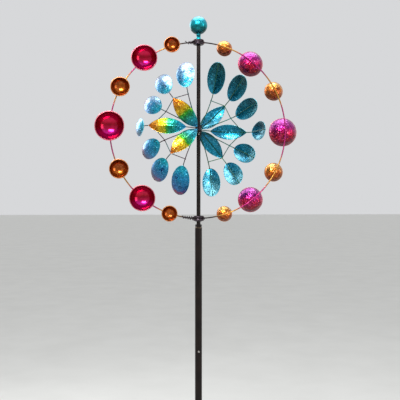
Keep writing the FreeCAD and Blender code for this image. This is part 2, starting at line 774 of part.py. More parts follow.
def leaf(label, number, reach, side):
    """A pointed leaf, bent along its spoke and troughed across it, lying on the spoke's outer side.

    It is a bent band, a little wider and longer than the leaf, trimmed by the two arcs of the leaf's outline.
    """
    band = doc.addObject("PartDesign::Body", label + "_band")
    sketch = sketch_on(band, "YZ_Plane", label + "_trough")
    middle = f"({LEAF_SEAT} - leaf_cross_radius)"
    arcs = []
    for radius in ("leaf_cross_radius", "(leaf_cross_radius + sheet_wall)"):
        half = math.asin(size(BAND_HALF_WIDTH) / size(radius))
        circle = Part.Circle(Vector(0, size(middle), 0), Vector(0, 0, 1), size(radius))
        arc = sketch.addGeometry(
            Part.ArcOfCircle(circle, math.pi / 2 - half, math.pi / 2 + half), False)
        sketch.addConstraint(Sketcher.Constraint("PointOnObject", arc, 3, -2))
        constrain(sketch, middle, "DistanceY", -1, 1, arc, 3)
        constrain(sketch, radius, "Radius", arc)
        constrain(sketch, BAND_HALF_WIDTH, "DistanceX", -1, 1, arc, 1)
        constrain(sketch, f"-{BAND_HALF_WIDTH}", "DistanceX", -1, 1, arc, 2)
        arcs.append(arc)
    for point in (1, 2):
        ends = [sketch.getPoint(arc, point) for arc in arcs]
        line = sketch.addGeometry(Part.LineSegment(*ends), False)
        sketch.addConstraint(Sketcher.Constraint("Coincident", line, 1, arcs[0], point))
        sketch.addConstraint(Sketcher.Constraint("Coincident", line, 2, arcs[1], point))
    revolution = band.newObject("PartDesign::Revolution", label + "_bent")
    revolution.Profile = sketch
    revolution.ReferenceAxis = (sketch, ["H_Axis"])
    revolution.Midplane = True
    bind(revolution, Angle=BAND_ANGLE)
    edges = [
        primitive("Cylinder", f"{label}_edge_{index}",
                  Radius=LEAF_EDGE, Height="2 * spoke_radius",
                  Placement__Base__y=f"({LEAF_EDGE} - leaf_width / 2) * {sign}")
        for index, sign in enumerate((-1, 1))
    ]
    blade = gather("MultiCommon", label, [band, *edges])
    lift = SPOKES[abs(number)][1]
    point, along, outward = dome(spoke_angle(number), size(reach), lift)
    blade.Placement = fan_placement(side) * facing(point - outward * size("spoke_radius"), along, outward)
    return node(label, blade)


for side_name, side in (("left", -1), ("right", 1)):
    fan_spokes(f"{side_name}_fan_spokes", side)
    brace(f"{side_name}_fan_brace", side)
    leaf(f"{side_name}_leaf_upper", 2, "side_leaf_reach", side)
    leaf(f"{side_name}_leaf_middle", 0, "middle_leaf_reach", side)
    leaf(f"{side_name}_leaf_lower", -2, "side_leaf_reach", side)
    for number in SPOKE_NUMBERS:
        petal(f"{side_name}_petal_{WORDS[number]}", number, side)

# ---------------------------------------------------------------- check and write

doc.recompute()
broken = [thing.Name for thing in doc.Objects if "Invalid" in thing.State or "Error" in thing.State]
if broken:
    raise RuntimeError("these objects did not build: " + ", ".join(broken))
for thing in NODES:
    if thing.Shape.isNull() or not thing.Shape.isValid() or not thing.Shape.Solids:
        raise RuntimeError("no sound solid in " + thing.Label)

os.makedirs("parts", exist_ok=True)
for thing in NODES:
    thing.Shape.exportStep(os.path.join("parts", thing.Label + ".step"))
print(len(NODES), "sub-parts written")
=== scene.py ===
import json
import math

import bpy
import bmesh
import numpy as np
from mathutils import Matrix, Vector, kdtree, noise


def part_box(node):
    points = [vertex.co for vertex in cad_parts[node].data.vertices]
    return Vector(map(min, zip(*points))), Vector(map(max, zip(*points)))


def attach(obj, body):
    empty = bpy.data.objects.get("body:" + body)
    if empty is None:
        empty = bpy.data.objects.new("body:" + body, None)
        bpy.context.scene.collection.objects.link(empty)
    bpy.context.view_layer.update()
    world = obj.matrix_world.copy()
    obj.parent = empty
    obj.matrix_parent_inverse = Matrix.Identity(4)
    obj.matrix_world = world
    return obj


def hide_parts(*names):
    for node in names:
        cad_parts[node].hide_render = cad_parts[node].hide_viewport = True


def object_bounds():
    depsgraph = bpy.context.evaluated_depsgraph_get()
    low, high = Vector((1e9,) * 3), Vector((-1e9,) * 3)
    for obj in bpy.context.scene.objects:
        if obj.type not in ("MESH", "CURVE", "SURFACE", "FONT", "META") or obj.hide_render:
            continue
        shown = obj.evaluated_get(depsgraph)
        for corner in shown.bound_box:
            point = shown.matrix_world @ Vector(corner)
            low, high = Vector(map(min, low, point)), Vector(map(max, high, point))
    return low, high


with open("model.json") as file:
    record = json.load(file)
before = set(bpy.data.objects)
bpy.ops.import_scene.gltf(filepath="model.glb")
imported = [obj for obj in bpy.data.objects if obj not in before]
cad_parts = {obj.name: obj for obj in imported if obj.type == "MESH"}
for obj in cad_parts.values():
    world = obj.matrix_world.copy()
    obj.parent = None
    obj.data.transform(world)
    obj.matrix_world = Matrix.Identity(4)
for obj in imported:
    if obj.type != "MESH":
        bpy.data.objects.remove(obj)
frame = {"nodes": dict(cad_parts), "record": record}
CAD_LOW, CAD_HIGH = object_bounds()
MM = 0.001
SLOT_OF = {row["node"]: row["material_slot"] for row in frame["record"]["subparts"]}
BODY_OF = {node: body for body, nodes in frame["record"]["behaviour"]["bodies"].items() for node in nodes}

# ---------------------------------------------------------------- camera

CAMERA_AZIMUTH = math.radians(5.0)
CAMERA_DISTANCE = 2.0
EYE_HEIGHT = 1.161
VIEW_SHIFT = 0.00375
LENS = 60
SENSOR_WIDTH = 36

camera = bpy.data.objects.new("camera", bpy.data.cameras.new("camera"))
bpy.context.scene.collection.objects.link(camera)
camera.data.lens = LENS
camera.data.sensor_width = SENSOR_WIDTH
camera.data.shift_x = VIEW_SHIFT
camera.location = (-CAMERA_DISTANCE * math.sin(CAMERA_AZIMUTH),
                   -CAMERA_DISTANCE * math.cos(CAMERA_AZIMUTH), EYE_HEIGHT)
camera.rotation_euler = (math.pi / 2, 0, -CAMERA_AZIMUTH)
bpy.context.scene.camera = camera
bpy.context.scene.view_settings.view_transform = "Standard"

# ---------------------------------------------------------------- materials


class Paint:
    """One material's node tree. Every input takes a constant or another node's output."""

    def __init__(self, name):
        self.material = bpy.data.materials.new(name)
        self.material.use_nodes = True
        self.tree = self.material.node_tree
        self.tree.nodes.clear()
        self.place = self.add("TexCoord", out="Object")

    def add(self, kind, inputs=None, out=0, **settings):
        made = self.tree.nodes.new("ShaderNode" + kind)
        for key, value in settings.items():
            setattr(made, key, value)
        for key, value in (inputs or {}).items():
            if isinstance(value, bpy.types.NodeSocket):
                self.tree.links.new(value, made.inputs[key])
            else:
                made.inputs[key].default_value = value
        return made.outputs[out] if made.outputs else None

    def attribute(self, name):
        return self.add("Attribute", out="Fac", attribute_name=name)

    def axis(self, letter):
        return self.add("SeparateXYZ", {0: self.place}, out="XYZ".index(letter))

    def maths(self, operation, *values):
        return self.add("Math", dict(enumerate(values)), operation=operation)

    def times(self, first, second):
        return self.maths("MULTIPLY", first, second)

    def noise(self, scale, detail=3.0, roughness=0.5):
        return self.add("TexNoise", {"Vector": self.place, "Scale": scale, "Detail": detail,
                                     "Roughness": roughness})

    def cells(self, scale, out="Distance"):
        return self.add("TexVoronoi", {"Vector": self.place, "Scale": scale}, out=out)

    def spread(self, value, low, high, to_low=0.0, to_high=1.0):
        return self.add("MapRange", {"Value": value, "From Min": low, "From Max": high,
                                     "To Min": to_low, "To Max": to_high})

    def patches(self, scale, low, high, detail=4.0, roughness=0.5):
        """Soft patches: noise from 0 where it is at low to 1 where it is at high."""
        return self.spread(self.noise(scale, detail, roughness), low, high)

    def uneven_along(self, scale, amount):
        """How far along its sheet a point lies, from 0 to 1, with an uneven front."""
        shift = self.spread(self.noise(scale, 4.0), 0.2, 0.8, -amount, amount)
        return self.maths("ADD", self.attribute("along"), shift)

    def ramp(self, value, *stops):
        node = self.tree.nodes.new("ShaderNodeValToRGB")
        self.tree.links.new(value, node.inputs[0])
        elements = node.color_ramp.elements
        while len(elements) < len(stops):
            elements.new(0.5)
        for element, (place, colour) in zip(elements, stops):
            element.position = place
            element.color = (*colour, 1)
        return node.outputs[0]

    def mix(self, share, first, second):
        colours = [c if isinstance(c, bpy.types.NodeSocket) else (*c, 1) for c in (first, second)]
        return self.add("Mix", {0: share, 6: colours[0], 7: colours[1]}, out=2, data_type="RGBA")

    def bump(self, height, distance, strength=1.0, below=None):
        inputs = {"Height": height, "Distance": distance, "Strength": strength}
        if below is not None:
            inputs["Normal"] = below
        return self.add("Bump", inputs)

    def shade(self, colour, metallic, roughness, normal=None, **more):
        inputs = {"Base Color": colour if isinstance(colour, bpy.types.NodeSocket) else (*colour, 1),
                  "Metallic": metallic, "Roughness": roughness}
        inputs.update({key.replace("_", " "): value for key, value in more.items()})
        if normal is not None:
            inputs["Normal"] = normal
            if "Coat Weight" in inputs:
                inputs["Coat Normal"] = normal
        surface = self.add("BsdfPrincipled", inputs)
        self.add("OutputMaterial", {"Surface": surface})
        return self.material


def brighter(paint, colour, value, saturation):
    return paint.add("HueSaturation", {"Value": value, "Saturation": saturation, "Color": colour})


def enamel(name, colour_of, rough=(0.16, 0.34), dimple=320.0, depth=0.00035, flake_glints=0.35, dust=0.5,
           sky=(0.75, 0.85, 1.0), sky_reflection_share=0.5, shaded=0.35):
    """A glossy metallic enamel with fine dimples, flake painted as bright glints and dark pits; colour_of
    draws its colours.

    Faces that look up are mixed towards the sky colour, a painted sky reflection, and faces that look down
    are darkened, a painted shade."""
    paint = Paint(name)
    colour = colour_of(paint)
    # Painted light: down-facing faces are mixed towards a darker copy (painted shade) and up-facing faces
    # towards the sky colour (painted sky reflection).
    up = paint.add("SeparateXYZ", {0: paint.add("TexCoord", out="Normal")}, out=2)
    facing_sky = paint.maths("ADD", up, paint.spread(paint.noise(dimple * 0.3, 4.0, 0.7), 0.3, 0.7, -0.3, 0.3))
    colour = paint.mix(paint.spread(facing_sky, -0.05, -0.6), colour, brighter(paint, colour, shaded, 1.1))
    colour = paint.mix(paint.spread(facing_sky, 0.3, 0.75, 0.0, sky_reflection_share), colour, sky)
    dark = paint.patches(dimple * 0.7, 0.5, 0.66, 4.0, 0.65)
    colour = paint.mix(paint.times(dark, dust), colour, brighter(paint, colour, 0.4, 1.1))
    # The paint's metal flake, painted as bright glints on picked cells, and dark pits on others.
    for grain, low, size in ((dimple * 0.55, 0.72, 0.55), (dimple * 1.6, 0.74, 0.8)):
        dots = paint.spread(paint.cells(grain), size, size * 0.35)
        kinds = paint.cells(grain, out="Color")
        lit = paint.add("SeparateColor", {0: kinds})
        shut = paint.add("SeparateColor", {0: kinds}, out=1)
        painted_glint = paint.times(dots, paint.spread(lit, low, low + 0.15, 0.0, flake_glints))
        colour = paint.mix(painted_glint, colour, brighter(paint, colour, 2.4, 0.9))
        pit = paint.times(dots, paint.spread(shut, low, low + 0.15, 0.0, dust))
        colour = paint.mix(pit, colour, brighter(paint, colour, 0.3, 1.1))
    roughness = paint.spread(paint.noise(90.0, 4.0, 0.6), 0.3, 0.7, *rough)
    hammered = paint.bump(paint.cells(dimple * 0.6), depth)
    normal = paint.bump(paint.noise(dimple * 4, 2.0), depth * 0.25, 1.0, hammered)
    return paint.shade(colour, 0.94, roughness, normal, Coat_Weight=0.22, Coat_Roughness=0.08)


def rise(paint, low, high):
    """0 at the low edge of a piece and 1 at its high edge, along the piece's own up direction."""
    return paint.spread(paint.attribute("rise"), low, high)


# Colour by height inside the bowl: a dark crimson band across the middle between brighter magenta bands is
# painted reflection and painted highlight, and the darkening towards the rim is painted shade.
def magenta_inside(paint):
    shade = paint.ramp(rise(paint, -1.0, 1.0), (0.0, (0.6, 0.003, 0.26)), (0.3, (0.68, 0.004, 0.26)),
                       (0.44, (0.42, 0.001, 0.05)), (0.6, (0.42, 0.001, 0.02)), (0.8, (0.66, 0.002, 0.07)),
                       (1.0, (0.5, 0.001, 0.06)))
    edge = paint.spread(paint.attribute("along"), 0.8, 1.0)
    return paint.mix(paint.times(edge, 0.3), shade, (0.36, 0.0, 0.06))


# Colour by height: the paint's own fade from crimson to purple, with painted light on it: darker at the
# bottom, a painted shade, and paler at the top, a painted sky reflection.
def magenta_outside(paint):
    shade = paint.ramp(rise(paint, -1.0, 1.0), (0.0, (0.24, 0.001, 0.02)), (0.3, (0.58, 0.001, 0.03)),
                       (0.5, (0.54, 0.002, 0.08)), (0.66, (0.38, 0.006, 0.21)), (1.0, (0.34, 0.04, 0.28)))
    spots = paint.spread(paint.cells(105.0), 0.5, 0.25)
    chosen = paint.spread(paint.add("SeparateColor", {0: paint.cells(105.0, out="Color")}), 0.5, 0.7)
    shade = paint.mix(paint.times(spots, paint.times(chosen, 0.75)), shade, (0.12, 0.0, 0.09))
    cloud = paint.patches(55.0, 0.5, 0.62, 4.0, 0.6)
    return paint.mix(paint.times(cloud, 0.5), shade, (0.2, 0.001, 0.14))


# Colour by height inside the bowl: brightest just below the middle, a painted highlight, and darkest at the
# top, a painted shade; the darkening towards the rim is painted shade too.
def amber_inside(paint):
    shade = paint.ramp(rise(paint, -1.0, 1.0), (0.0, (0.42, 0.09, 0.004)), (0.3, (0.62, 0.15, 0.007)),
                       (0.6, (0.42, 0.085, 0.004)), (1.0, (0.24, 0.04, 0.002)))
    shade = paint.mix(paint.times(paint.patches(75.0, 0.5, 0.62, 4.0, 0.65), 0.6), shade,
                      (0.16, 0.022, 0.002))
    edge = paint.spread(paint.attribute("along"), 0.7, 1.0)
    return paint.mix(paint.times(edge, 0.6), shade, (0.2, 0.03, 0.002))


# Colour by height: dark brown-orange at the bottom, a painted shade, to pale gold at the top, painted light
# from above.
def amber_outside(paint):
    shade = paint.ramp(rise(paint, -1.0, 1.0), (0.0, (0.3, 0.045, 0.003)), (0.4, (0.62, 0.12, 0.003)),
                       (0.75, (0.82, 0.25, 0.004)), (1.0, (0.82, 0.36, 0.02)))
    cloud = paint.patches(60.0, 0.5, 0.62, 4.0, 0.65)
    return paint.mix(paint.times(cloud, 0.8), shade, (0.26, 0.035, 0.004))


def petal_outside(paint):
    along = paint.uneven_along(55.0, 0.22)
    return paint.ramp(along, (0.0, (0.001, 0.42, 0.56)), (0.3, (0.001, 0.3, 0.56)),
                      (0.62, (0.001, 0.19, 0.5)), (0.8, (0.01, 0.1, 0.36)), (0.92, (0.14, 0.015, 0.14)),
                      (1.0, (0.3, 0.012, 0.06)))


def petal_inside(paint):
    along = paint.uneven_along(55.0, 0.2)
    return paint.ramp(along, (0.0, (0.002, 0.26, 0.44)), (0.5, (0.001, 0.25, 0.36)),
                      (1.0, (0.001, 0.19, 0.22)))


def leaf_outside(paint):
    along = paint.uneven_along(60.0, 0.09)
    shade = paint.ramp(along, (0.02, (0.002, 0.24, 0.5)), (0.22, (0.001, 0.34, 0.44)),
                       (0.4, (0.002, 0.3, 0.16)), (0.52, (0.06, 0.42, 0.006)), (0.62, (0.78, 0.58, 0.005)),
                       (0.8, (0.95, 0.4, 0.004)), (1.0, (0.8, 0.17, 0.003)))
    tip = paint.times(paint.spread(along, 0.5, 0.9), paint.patches(210.0, 0.46, 0.58, 4.0, 0.7))
    shade = paint.mix(paint.times(tip, 0.9), shade, (0.36, 0.07, 0.004))
    grain = paint.patches(260.0, 0.52, 0.62, 4.0, 0.7)
    return paint.mix(paint.times(grain, 0.45), shade, brighter(paint, shade, 0.35, 1.1))


def leaf_inside(paint):
    along = paint.uneven_along(50.0, 0.2)
    return paint.ramp(along, (0.0, (0.001, 0.14, 0.3)), (0.45, (0.001, 0.24, 0.38)),
                      (1.0, (0.001, 0.17, 0.28)))


# The ball is darker towards its bottom and brighter towards its top: painted shade and painted light from
# above.
def ball_colours(paint):
    return paint.ramp(rise(paint, -1.0, 1.0), (0.0, (0.001, 0.16, 0.19)), (0.35, (0.002, 0.3, 0.34)),
                      (0.6, (0.002, 0.36, 0.46)), (1.0, (0.003, 0.4, 0.56)))


# The stem is darker towards its top, under the ball: painted shade.
def stem_colours(paint):
    return paint.ramp(rise(paint, -1.0, 1.0), (0.0, (0.004, 0.6, 0.7)), (1.0, (0.003, 0.4, 0.5)))


RING_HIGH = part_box("ring_arc_left")[1].z
RING_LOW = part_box("ring_arc_left")[0].z
RING_MIDDLE = (RING_HIGH + RING_LOW) / 2
RING_RADIUS = (RING_HIGH - RING_LOW) / 2 - 2 * MM


def ring_colours(paint):
    """Bare dark metal by the collars, with overspray of each cup's colour beside it."""
    height = paint.maths("ABSOLUTE", paint.maths("SUBTRACT", paint.axis("Z"), RING_MIDDLE))
    slope = paint.maths("DIVIDE", height, RING_RADIUS * 1.01)
    turn = paint.maths("DIVIDE", paint.maths("ARCSINE", slope), math.pi / 2)
    pink, gold, dark = (0.4, 0.012, 0.14), (0.52, 0.24, 0.03), (0.012, 0.007, 0.008)
    shade = paint.ramp(turn, (0.0, pink), (0.17, pink), (0.22, gold), (0.40, gold), (0.46, pink),
                       (0.66, pink), (0.71, gold), (0.79, gold), (0.85, dark))
    chips = paint.patches(380.0, 0.55, 0.66, 4.0, 0.7)
    return paint.mix(chips, shade, (0.06, 0.02, 0.012))


def green_wire(paint):
    shade = paint.mix(paint.patches(30.0, 0.4, 0.6, 3.0), (0.002, 0.11, 0.1), (0.012, 0.09, 0.035))
    chips = paint.patches(420.0, 0.56, 0.66, 4.0, 0.7)
    return paint.mix(chips, shade, (0.03, 0.02, 0.024))


def brown_wire(paint):
    shade = paint.mix(paint.patches(24.0, 0.42, 0.6, 3.0), (0.035, 0.014, 0.02), (0.003, 0.08, 0.08))
    chips = paint.patches(420.0, 0.56, 0.66, 4.0, 0.7)
    return paint.mix(chips, shade, (0.1, 0.04, 0.06))


def bronze():
    paint = Paint("bronze_powder_coat")
    cloud = paint.patches(18.0, 0.35, 0.65, 5.0, 0.6)
    colour = paint.mix(cloud, (0.007, 0.005, 0.005), (0.016, 0.01, 0.008))
    rubbed = paint.patches(170.0, 0.6, 0.74, 5.0, 0.75)
    colour = paint.mix(paint.times(rubbed, 0.55), colour, (0.07, 0.04, 0.022))
    roughness = paint.spread(paint.noise(70.0, 3.0), 0.3, 0.7, 0.28, 0.42)
    peel = paint.bump(paint.noise(700.0, 3.0, 0.6), 0.00025, 0.7)
    return paint.shade(colour, 0.6, roughness, peel, Specular_IOR_Level=0.3, Coat_Weight=0.06,
                       Coat_Roughness=0.2)


def worn_metal(name, first, second, rough, grain=500.0):
    paint = Paint(name)
    cloud = paint.patches(120.0, 0.38, 0.62, 5.0, 0.65)
    colour = paint.mix(cloud, first, second)
    roughness = paint.spread(paint.noise(grain, 3.0), 0.3, 0.7, *rough)
    scuffs = paint.bump(paint.noise(grain * 2, 4.0, 0.7), 0.00012)
    return paint.shade(colour, 0.95, roughness, scuffs)


def nylon():
    paint = Paint("bush_nylon")
    colour = paint.mix(paint.patches(200.0, 0.4, 0.6), (0.02, 0.02, 0.021), (0.035, 0.034, 0.033))
    return paint.shade(colour, 0.0, paint.spread(paint.noise(300.0), 0.3, 0.7, 0.42, 0.6),
                       paint.bump(paint.noise(900.0, 3.0), 0.0001))


def wire_paint(name, colour_of):
    paint = Paint(name)
    colour = colour_of(paint)
    roughness = paint.spread(paint.noise(200.0, 3.0), 0.3, 0.7, 0.26, 0.42)
    runs = paint.bump(paint.noise(900.0, 3.0, 0.6), 0.0002)
    return paint.shade(colour, 0.8, roughness, runs, Coat_Weight=0.2, Coat_Roughness=0.15)


def pale_rim(name, first, second):
    """The thin edge of a cup or petal, in paler colours than its faces."""
    paint = Paint(name)
    colour = paint.mix(paint.patches(260.0, 0.4, 0.62, 4.0, 0.7), first, second)
    return paint.shade(colour, 0.8, paint.spread(paint.noise(300.0), 0.3, 0.7, 0.25, 0.4),
                       paint.bump(paint.noise(800.0, 3.0), 0.0002), Coat_Weight=0.5, Coat_Roughness=0.12)


MATERIALS = {
    "bronze_paint": bronze(),
    "plain_steel": worn_metal("plain_steel", (0.42, 0.4, 0.37), (0.26, 0.24, 0.22), (0.2, 0.4)),
    "plug_metal": worn_metal("plug_metal", (0.07, 0.05, 0.038), (0.2, 0.15, 0.1), (0.24, 0.42)),
    "bush_nylon": nylon(),
    "ring_paint": wire_paint("ring_paint", ring_colours),
    "spoke_paint": wire_paint("green_wire", green_wire),
    "teal_enamel": enamel("teal_enamel", ball_colours, dimple=260.0, rough=(0.2, 0.34), depth=0.0003,
                          flake_glints=0.3, dust=0.3, sky_reflection_share=0.1),
}
CUP_OUTSIDE = {"rough": (0.14, 0.28), "depth": 0.0009, "flake_glints": 1.0, "dust": 0.8}
# How strongly each enamel's up-facing faces take the painted sky reflection and its down-facing faces the
# painted shade.
CUP_INSIDE = {"sky_reflection_share": 0.0, "shaded": 0.6}
GREEN_INSIDE = {"flake_glints": 1.0, "dust": 0.7, "sky_reflection_share": 0.6, "sky": (0.28, 0.7, 0.82)}

# The paints of a sheet piece are those of its outside, its inside and its edge.
CUP_PAINTS = {
    "magenta_enamel": [enamel("magenta_outside", magenta_outside, sky=(0.5, 0.12, 0.46), sky_reflection_share=0.35,
                              **CUP_OUTSIDE),
                       enamel("magenta_inside", magenta_inside, dimple=150.0, rough=(0.14, 0.22),
                              depth=0.0001, flake_glints=0.1, dust=0.15, **CUP_INSIDE),
                       pale_rim("magenta_rim", (0.5, 0.03, 0.09), (0.66, 0.16, 0.18))],
    "orange_enamel": [enamel("amber_outside", amber_outside, sky=(1.0, 0.72, 0.25), sky_reflection_share=0.4,
                             **CUP_OUTSIDE),
                      enamel("amber_inside", amber_inside, dimple=230.0, rough=(0.18, 0.28),
                             depth=0.0002, flake_glints=0.4, dust=0.5, **CUP_INSIDE),
                      pale_rim("amber_rim", (0.42, 0.11, 0.015), (0.6, 0.22, 0.05))],
}
PETAL_PAINTS = [enamel("petal_outside", petal_outside, flake_glints=1.0, dust=0.9, sky=(0.46, 0.68, 0.95),
                       sky_reflection_share=0.75, shaded=0.5),
                enamel("petal_inside", petal_inside, **GREEN_INSIDE),
                pale_rim("petal_rim", (0.01, 0.26, 0.36), (0.1, 0.55, 0.66))]
LEAF_PAINTS = [enamel("leaf_outside", leaf_outside, flake_glints=0.8, dust=0.8, sky_reflection_share=0.12, sky=(0.8, 1.0, 0.4)),
               enamel("leaf_inside", leaf_inside, **GREEN_INSIDE),
               pale_rim("leaf_rim", (0.01, 0.22, 0.28), (0.06, 0.42, 0.46))]
BROWN_WIRE = wire_paint("brown_wire", brown_wire)
STEM_PAINT = enamel("teal_stem", stem_colours, dimple=260.0, depth=0.0002, flake_glints=0.2, dust=0.2,
                    sky_reflection_share=0.12)
COLLAR_PAINT = worn_metal("collar_metal", (0.016, 0.011, 0.014), (0.09, 0.07, 0.085), (0.22, 0.4),
                          320.0)


def paint_of(node):
    """The material that shows on a CAD node, and on the wire and welds that belong to it."""
    if node.startswith("left_fan"):
        return BROWN_WIRE
    if node.startswith(("ring_collar", "ring_splice")):
        return COLLAR_PAINT
    return MATERIALS[SLOT_OF[node]]


# The slots that are missing from MATERIALS are only on sheet pieces, which stand for their CAD nodes.
for node, thing in frame["nodes"].items():
    if SLOT_OF[node] in MATERIALS:
        thing.data.materials.clear()
        thing.data.materials.append(paint_of(node))

# ---------------------------------------------------------------- making pieces


def add_piece(name, data, like, replaced=()):
    """A piece that rides with a CAD node's body; the CAD nodes it replaces are hidden."""
    thing = bpy.data.objects.new(name, data)
    bpy.context.scene.collection.objects.link(thing)
    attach(thing, BODY_OF[like])
    if replaced:
        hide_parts(*replaced)
    return thing


def smooth_mesh(name, work, paints):
    """A smooth-shaded mesh from a bmesh, which is freed."""
    mesh = bpy.data.meshes.new(name)
    work.to_mesh(mesh)
    work.free()
    mesh.polygons.foreach_set("use_smooth", [True] * len(mesh.polygons))
    for paint in paints:
        mesh.materials.append(paint)
    return mesh


def closed_mesh(name, points, faces, paints, slots=None):
    """A smooth mesh with its faces turned outwards; slots gives each face its place among the paints."""
    work = bmesh.new()
    verts = [work.verts.new(p) for p in points]
    for n, face in enumerate(faces):
        made = work.faces.new([verts[p] for p in face])
        made.material_index = slots[n] if slots else 0
    bmesh.ops.recalc_face_normals(work, faces=work.faces)
    return smooth_mesh(name, work, paints)


def point_values(mesh, name, values):
    mesh.attributes.new(name, "FLOAT", "POINT").data.foreach_set("value", values.astype(np.float32))


# ---------------------------------------------------------------- sheet pieces


def shell_piece(name, node, outer, inner, bead, along, rise_of, paints):
    """A closed sheet from loops of points, which run from the middle of its outside over a rolled edge to the
    middle of its inside. outer and inner are (loops, around, 3) with the middle as one repeated point."""
    loops = np.concatenate([outer[1:], bead, inner[:0:-1]])
    count, around = loops.shape[:2]
    points = np.concatenate([outer[0, :1], loops.reshape(-1, 3), inner[0, :1]])
    faces, slots = [], []
    outer_count, bead_count = len(outer) - 1, len(bead)

    def slot_at(loop):
        if loop < outer_count - 1:
            return 0
        return 2 if loop < outer_count + bead_count else 1

    last = len(points) - 1
    for j in range(around):
        k = (j + 1) % around
        faces.append((0, 1 + j, 1 + k))
        slots.append(0)
        for i in range(count - 1):
            a, b = 1 + i * around, 1 + (i + 1) * around
            faces.append((a + j, b + j, b + k, a + k))
            slots.append(slot_at(i))
        a = 1 + (count - 1) * around
        faces.append((a + j, last, a + k))
        slots.append(1)
    mesh = closed_mesh(name, points, faces, paints, slots)
    over_bead = np.repeat(along[-1:], bead_count, 0)
    around_all = np.concatenate([along[1:], over_bead, along[:0:-1]]).ravel()
    point_values(mesh, "along", np.concatenate([along[0, :1], around_all, along[0, :1]]))
    point_values(mesh, "rise", rise_of(points))
    return add_piece(name, mesh, node, [node])


def hammered(points, normals, cell, depth):
    """Pushes points out along their normals into shallow round dimples."""
    flat, out = points.reshape(-1, 3), normals.reshape(-1, 3)
    bowls = np.array([noise.voronoi(Vector(p / cell))[0][0] ** 2 for p in flat])
    swell = np.array([noise.noise(Vector(p / (6 * cell))) for p in flat])
    return (flat + out * ((bowls - 0.25) * depth + swell * depth)[:, None]).reshape(points.shape)


def unit(vectors):
    return vectors / np.linalg.norm(vectors, axis=-1, keepdims=True)


def rolled_edge(rim_outer, rim_inner, outward, radius, steps=5):
    """Loops round a small bead that joins the two faces of a sheet at its rim."""
    middle = (rim_outer + rim_inner) / 2
    up = unit(rim_outer - rim_inner)
    turns = np.linspace(math.pi / 2, -math.pi / 2, steps)
    return np.array([middle + radius * (math.cos(t) * outward + math.sin(t) * up) for t in turns])


CUP_WALL = 1.2 * MM
BEAD = 1.0 * MM  # radius of the rolled edge of every sheet piece
CELL = 5.5 * MM  # distance between hammer dents
CUP_DENT, PETAL_DENT, LEAF_DENT, BALL_DENT = 0.8 * MM, 0.55 * MM, 0.4 * MM, 0.35 * MM
CUP_INSET = 0.35 * MM  # keeps the swell between a cup's dents inside the CAD cup
LOOP_STEP, AROUND_STEP = 1.3 * MM, 0.36 * MM


def wind_cup(node):
    """A pressed cup: smooth inside, hammered outside, with a rolled rim."""
    low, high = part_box(node)
    mouth = -1.0 if "left" in node else 1.0
    half = (high.x - low.x) / 2 - BEAD
    depth = high.y - low.y
    sphere = (half * half + depth * depth) / (2 * depth)
    back = high.y if mouth < 0 else low.y
    centre = np.array([(low.x + high.x) / 2, back + mouth * sphere, (low.z + high.z) / 2])
    opening = math.acos((sphere - depth + BEAD) / sphere)
    loops, around = max(12, int(half / LOOP_STEP)), max(48, int(half / AROUND_STEP))
    slant = np.linspace(0, opening, loops + 1)[:, None]
    turn = np.linspace(0, 2 * math.pi, around, endpoint=False)[None, :]
    radial = np.stack([np.cos(turn), np.zeros_like(turn), np.sin(turn)], -1)
    out = np.sin(slant)[..., None] * radial - np.array([0, mouth, 0]) * np.cos(slant)[..., None]
    outer = hammered(centre + out * (sphere - CUP_INSET), out, CELL, CUP_DENT)
    inner = centre + out * (sphere - CUP_WALL)
    edge_radial = np.broadcast_to(radial[0], (around, 3))
    bead = rolled_edge(outer[-1], inner[-1], edge_radial, BEAD)
    along = np.broadcast_to(slant / opening, (loops + 1, around))
    return shell_piece(node + "_pressed", node, outer, inner, bead, along,
                       lambda p: (p[:, 2] - centre[2]) / half, CUP_PAINTS[SLOT_OF[node]])


ROTOR_MIDDLE = np.array((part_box("rotor_hub")[0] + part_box("rotor_hub")[1]) / 2)
SHEET = 1.0 * MM
SHEET_INSET = 0.1 * MM
SHEET_LOOPS, SHEET_AROUND = 26, 120
LEAF_RIB, RIB_WIDTH = 0.5 * MM, 1.6 * MM


def own_frame(node):
    """A dished sheet's middle and its own long, cross and bulge directions, with its points in them."""
    mesh = frame["nodes"][node].data
    centres = np.array([face.center for face in mesh.polygons])
    areas = np.array([face.area for face in mesh.polygons])
    points = np.array([vertex.co for vertex in mesh.vertices])
    middle = (centres * areas[:, None]).sum(0) / areas.sum()
    spread = ((centres - middle).T * areas) @ (centres - middle)
    bulge, cross, long = np.linalg.eigh(spread)[1].T
    if long @ (middle - ROTOR_MIDDLE) < 0:
        long = -long
    ends = np.abs((points - middle) @ long)
    tips = points[ends > 0.85 * ends.max()]
    if (tips - middle).mean(0) @ bulge > 0:
        bulge = -bulge
    cross = np.cross(bulge, long)
    axes = np.array([long, cross, bulge])
    own = (points - middle) @ axes.T
    shift = (own.max(0) + own.min(0)) / 2
    return middle + shift @ axes, axes, own - shift


